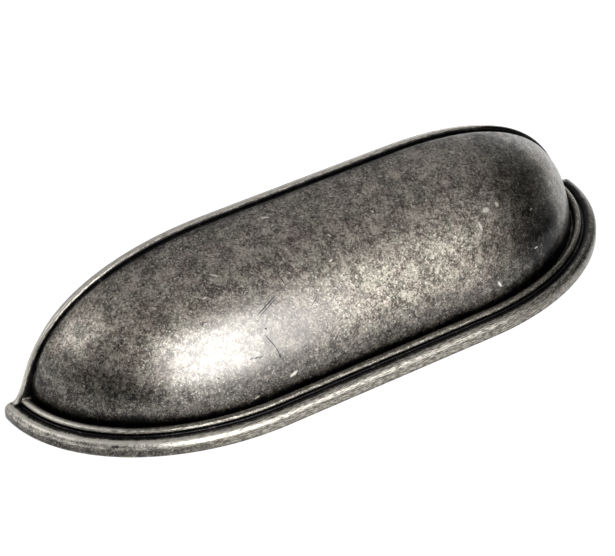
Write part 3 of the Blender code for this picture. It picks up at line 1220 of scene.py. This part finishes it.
    def grit(self, nodes: Nodes, place: Socket) -> tuple[Socket, Socket]:
        """Return the masks of the grains that the wheel has caught and of the pits between them."""
        grit = nodes.noise(place, self.grit_size, 1.0, roughness=0.5, distortion=1.0)
        return nodes.ease(grit, 0.56, 0.74), nodes.ease(grit, 0.46, 0.28)

    def streaks(self, nodes: Nodes, burnish_and_highlight: Socket) -> Socket:
        """Draw the fine marks that the wheel leaves along the beads.

        Args:
            nodes: The tree to draw in.
            burnish_and_highlight: How bright the wheel has rubbed the place, painted highlights included.

        Returns:
            1 where the metal is bare and 0 in a dull streak.
        """
        along = nodes.math("MULTIPLY", nodes.attribute("run"), 1 / self.streak_length)
        across = nodes.math("MULTIPLY", nodes.attribute("girth"), 1 / self.streak_width)
        vector = nodes.add("ShaderNodeCombineXYZ")
        nodes.feed(vector.inputs[0], along)
        nodes.feed(vector.inputs[1], across)
        streaks = nodes.noise(vector.outputs[0], 1.0, 3.0, roughness=0.65)
        return nodes.ease(nodes.math("MULTIPLY_ADD", burnish_and_highlight, 0.5, streaks), 0.66, 1.0)

    def wear(self, nodes: Nodes, place: Socket) -> tuple[Socket, Socket]:
        """Draw the single marks, the chips with a ragged edge.

        Args:
            nodes: The tree to draw in.
            place: Object coordinates.

        Returns:
            The mask of all chips, and the mask of all dark marks.
        """
        shake = nodes.add("ShaderNodeTexNoise")
        nodes.feed(shake.inputs["Vector"], place)
        shake.inputs["Scale"].default_value = 1 / self.shake_size
        shaken = nodes.add("ShaderNodeVectorMath", operation="MULTIPLY_ADD")
        nodes.feed(shaken.inputs[0], shake.outputs["Color"])
        shaken.inputs[1].default_value = [self.shake] * 3
        nodes.feed(shaken.inputs[2], place)
        ragged = nodes.add("ShaderNodeVectorMath", operation="SUBTRACT")
        nodes.feed(ragged.inputs[0], shaken.outputs[0])
        ragged.inputs[1].default_value = [self.shake / 2] * 3
        masks: dict[bool, Value] = {True: 0.0, False: 0.0}
        for mark in MARKS:
            bright = mark.kind is MarkKind.CHIP
            seen = ragged.outputs[0] if bright else place
            masks[bright] = nodes.math("MAXIMUM", masks[bright], mark.draw(nodes, seen))
        return masks[True], masks[False]


@dataclass
class CupPull:
    """The whole pull: shell, lip bead and screw posts joined into one casting.

    Attributes:
        shell: The flange and the dome.
        hole_spacing: Distance between the axes of the two posts.
        finish: The finish of the casting.
        sharp_angle: Angle from which an edge is shaded as a sharp one.
    """

    shell: Shell = field(default_factory=Shell)
    hole_spacing: float = 0.0960
    finish: AntiquePewter = field(default_factory=AntiquePewter)
    sharp_angle: float = radians(38)

    def build(self) -> bpy.types.Object:
        """Model the casting and join its forms.

        Returns:
            The casting, with its finish noted on its points.
        """
        finish_map = FinishMap()
        casting = self.shell.skin().build(finish_map)
        join(casting, LipBead(self.shell).skin().build(finish_map), "UNION")
        for x in (-self.hole_spacing / 2, self.hole_spacing / 2):
            post = ScrewPost(x, self.shell)
            join(casting, post.build(finish_map), "UNION")
            join(casting, post.hole(finish_map), "DIFFERENCE")
        finish_map.paint(casting.data)
        return casting

    def dress(self, casting: bpy.types.Object) -> None:
        """Smooth the casting, give it its finish and put it in the frame.

        Args:
            casting: The casting as it was built.
        """
        casting.data.materials.clear()
        casting.data.materials.append(self.finish.material())
        deselect_all()
        casting.select_set(True)
        bpy.context.view_layer.objects.active = casting
        bpy.ops.object.shade_smooth_by_angle(angle=self.sharp_angle)
        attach(casting, "root")
        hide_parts("cup_pull")


def join(body: bpy.types.Object, other: bpy.types.Object, operation: str) -> None:
    """Join another solid to a body, or cut it out of it, and remove the other one.

    Args:
        body: The solid that stays.
        other: The solid that goes.
        operation: UNION or DIFFERENCE.
    """
    deselect_all()
    body.select_set(True)
    bpy.context.view_layer.objects.active = body
    modifier = body.modifiers.new(operation.title(), "BOOLEAN")
    modifier.operation = operation
    modifier.solver = "EXACT"
    modifier.object = other
    bpy.ops.object.modifier_apply(modifier=modifier.name)
    bpy.data.objects.remove(other, do_unlink=True)


def direction(azimuth: float, elevation: float) -> Vector:
    """Return the direction at an azimuth, in degrees from +Y towards +X, and an elevation."""
    turn = radians(azimuth)
    rise = radians(elevation)
    return Vector((sin(turn) * cos(rise), cos(turn) * cos(rise), sin(rise)))


@dataclass(frozen=True)
class PhotoCamera:
    """The camera at the photograph's angle: from the front left, well above the pull.

    Attributes:
        place: Where the camera stands.
        azimuth: Direction in which it looks, in degrees from +Y towards +X.
        elevation: How far it looks up, in degrees.
        roll: How far it is turned about its own axis, in degrees.
        lens: Focal length in millimetres.
    """

    place: Point = (-0.17284, -0.28708, 0.24878)
    azimuth: float = 29.93
    elevation: float = -35.10
    roll: float = -3.586
    lens: float = 138.37

    def build(self) -> None:
        """Add the camera and look through it."""
        bpy.ops.object.camera_add(location=self.place)
        camera = bpy.context.object
        look = direction(self.azimuth, self.elevation)
        level = look.cross(Vector((0.0, 0.0, 1.0))).normalized()
        turned = Matrix.Rotation(radians(-self.roll), 3, look)
        right = turned @ level
        facing = Matrix((right, right.cross(look), -look)).transposed().to_4x4()
        camera.matrix_world = Matrix.Translation(self.place) @ facing
        camera.data.lens = self.lens
        bpy.context.scene.camera = camera


@dataclass(frozen=True)
class Softbox:
    """A soft lamp that faces the pull.

    Attributes:
        name: Name of the lamp.
        azimuth: Where it stands, in degrees from +Y towards +X.
        elevation: How high it stands, in degrees.
        width: Its width.
        height: Its height.
        brightness: How bright its face is, where 1 is the white of the background.
        distance: How far from the pull it stands.
    """

    name: str
    azimuth: float
    elevation: float
    width: float
    height: float
    brightness: float
    distance: float = 0.7

    def build(self) -> None:
        """Add the lamp."""
        towards = direction(self.azimuth, self.elevation)
        bpy.ops.object.light_add(type="AREA", location=towards * self.distance)
        lamp = bpy.context.object
        lamp.name = self.name
        lamp.rotation_euler = towards.to_track_quat("Z", "Y").to_euler()
        lamp.data.shape = "RECTANGLE"
        lamp.data.size = self.width
        lamp.data.size_y = self.height
        lamp.data.energy = pi * self.width * self.height * self.brightness
        lamp.visible_camera = False


@dataclass(frozen=True)
class Card:
    """A white reflector or a dark flag that stands in the room, out of focus.

    Attributes:
        azimuth: Where its middle stands, in degrees from +Y towards +X.
        elevation: How high its middle stands, in degrees.
        spread: How far it fades out from its middle, in degrees.
        core: How far from its middle it is at its full strength, in degrees.
        brightness: How bright it is, where 1 is the white of the background.
    """

    azimuth: float
    elevation: float
    spread: float
    core: float
    brightness: float

    def draw(self, nodes: Nodes, heading: Socket, room: Socket) -> Socket:
        """Put the card in front of the room.

        Args:
            nodes: The tree to draw in.
            heading: Direction in which a ray leaves.
            room: Brightness of the room in that direction.

        Returns:
            The brightness with the card there.
        """
        node = nodes.add("ShaderNodeVectorMath", operation="DOT_PRODUCT")
        nodes.feed(node.inputs[0], heading)
        nodes.feed(node.inputs[1], direction(self.azimuth, self.elevation))
        share = nodes.ease(node.outputs["Value"], cos(radians(self.spread)), cos(radians(self.core)))
        return nodes.math("MULTIPLY_ADD", share, nodes.math("SUBTRACT", self.brightness, room), room)


@dataclass(frozen=True)
class Mat:
    """A black mat that lies on the table beside the pull and shows only in the metal.

    Attributes:
        name: Name of the mat.
        middle: Where its middle lies, as (x, y).
        size: Its size along x and y.
        height: How far it lies above the mounting face.
        colour: Its near-black.
    """

    name: str
    middle: tuple[float, float]
    size: tuple[float, float]
    height: float = 0.0001
    colour: Colour = (0.01, 0.01, 0.01, 1.0)

    def build(self) -> None:
        """Lay the mat out of the camera's sight, where it throws no shadow either."""
        deselect_all()
        bpy.ops.mesh.primitive_plane_add(size=1.0, location=(*self.middle, self.height))
        mat = bpy.context.object
        mat.name = self.name
        mat.scale = (*self.size, 1.0)
        bpy.ops.object.transform_apply(location=True, rotation=False, scale=True)
        mat.visible_camera = False
        mat.visible_diffuse = False
        mat.visible_shadow = False
        material = bpy.data.materials.new(self.name)
        material.use_nodes = True
        material.node_tree.nodes["Principled BSDF"].inputs["Base Color"].default_value = self.colour
        mat.data.materials.append(material)


@dataclass(frozen=True)
class Studio:
    """A white table in a bright room, with lamps in front and on the left and flags between them.

    Attributes:
        softboxes: The lamps.
        mats: The black mats on the table.
        cards: The reflectors and flags.
        horizon: Brightness of the walls at the height of the table.
        ceiling: Brightness of the room overhead.
        floor_size: Side of the table top.
        floor_gap: How far the table top lies below the mounting face.
        wall_height: Sine of the elevation at which the walls have faded into the ceiling.
        floor_colour: Colour of the table where light falls on it.
        floor_glow: Brightness of the table's own white.
        shadow_share: How much of the table's look comes from the light on it.
    """

    softboxes: tuple[Softbox, ...] = (
        Softbox("front_softbox", 182, 25, 0.60, 0.58, 5.2),
        Softbox("side_softbox", 285, 36, 0.34, 0.34, 1.9),
    )
    mats: tuple[Mat, ...] = (
        Mat("right_mat", (0.270, -0.082), (0.400, 0.160)),
        Mat("left_mat", (-0.230, -0.102), (0.320, 0.170)),
    )
    cards: tuple[Card, ...] = (
        Card(5, 50, 75, 30, 0.46),
        Card(112, 10, 50, 20, 0.01),
        Card(236, -4, 42, 14, 0.04),
        Card(44, 0, 26, 10, 2.60),
        Card(142, 42, 34, 10, 0.60),
    )
    horizon: float = 0.6
    ceiling: float = 0.27
    floor_size: float = 6.0
    floor_gap: float = 0.00005
    wall_height: float = 0.3
    floor_colour: Colour = (0.85, 0.85, 0.85, 1.0)
    floor_glow: float = 1.22
    shadow_share: float = 0.25

    def build(self) -> None:
        """Set up the table, the lamps and the room."""
        for softbox in self.softboxes:
            softbox.build()
        for mat in self.mats:
            mat.build()
        self.floor()
        self.room()
        bpy.context.scene.view_settings.view_transform = "Standard"

    def floor(self) -> None:
        """Add the white table top, which keeps a faint shadow of the pull."""
        deselect_all()
        bpy.ops.mesh.primitive_plane_add(size=self.floor_size, location=(0.0, 0.0, -self.floor_gap))
        floor = bpy.context.object
        floor.name = "table_top"
        material = bpy.data.materials.new("white_table")
        material.use_nodes = True
        nodes = Nodes(material.node_tree)
        output = material.node_tree.nodes["Material Output"]
        material.node_tree.nodes.remove(material.node_tree.nodes["Principled BSDF"])
        lit = nodes.add("ShaderNodeBsdfDiffuse")
        lit.inputs["Color"].default_value = self.floor_colour
        white = nodes.add("ShaderNodeEmission")
        white.inputs["Strength"].default_value = self.floor_glow
        mix = nodes.add("ShaderNodeMixShader")
        ray = nodes.add("ShaderNodeLightPath").outputs
        seen = nodes.math("MAXIMUM", ray["Is Camera Ray"], ray["Is Glossy Ray"])
        nodes.feed(mix.inputs[0], nodes.math("MULTIPLY", seen, 1 - self.shadow_share))
        nodes.feed(mix.inputs[1], lit.outputs[0])
        nodes.feed(mix.inputs[2], white.outputs[0])
        nodes.feed(output.inputs["Surface"], mix.outputs[0])
        floor.data.materials.append(material)

    def room(self) -> None:
        """Paint the room: white for the camera; walls, ceiling and cards for all other rays.

        The metal mirrors the room and not the white, because the photographed dome is dark
        where it faces away from the lamps. Only the table is white in the metal too.
        """
        world = bpy.data.worlds.new("studio_room")
        world.use_nodes = True
        bpy.context.scene.world = world
        nodes = Nodes(world.node_tree)
        background = world.node_tree.nodes["Background"]
        heading = nodes.add("ShaderNodeTexCoord").outputs["Generated"]
        parts = nodes.add("ShaderNodeSeparateXYZ")
        nodes.feed(parts.inputs[0], heading)
        room = nodes.ease(parts.outputs["Z"], 0.0, self.wall_height, self.horizon, self.ceiling)
        for card in self.cards:
            room = card.draw(nodes, heading, room)
        ray = nodes.add("ShaderNodeLightPath").outputs
        strength = nodes.math("MAXIMUM", room, ray["Is Camera Ray"])
        nodes.feed(background.inputs["Strength"], strength)
        background.inputs["Color"].default_value = (1.0, 1.0, 1.0, 1.0)


def main() -> None:
    """Build the pull and its studio, and log how many faces the casting has."""
    logging.basicConfig(level=logging.INFO, format="%(name)s: %(message)s")
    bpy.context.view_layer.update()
    pull = CupPull()
    casting = pull.build()
    pull.dress(casting)
    LOG.info("%s has %d faces and rides on root", casting.name, len(casting.data.polygons))
    PhotoCamera().build()
    Studio().build()


if __name__ == "__main__":
    main()
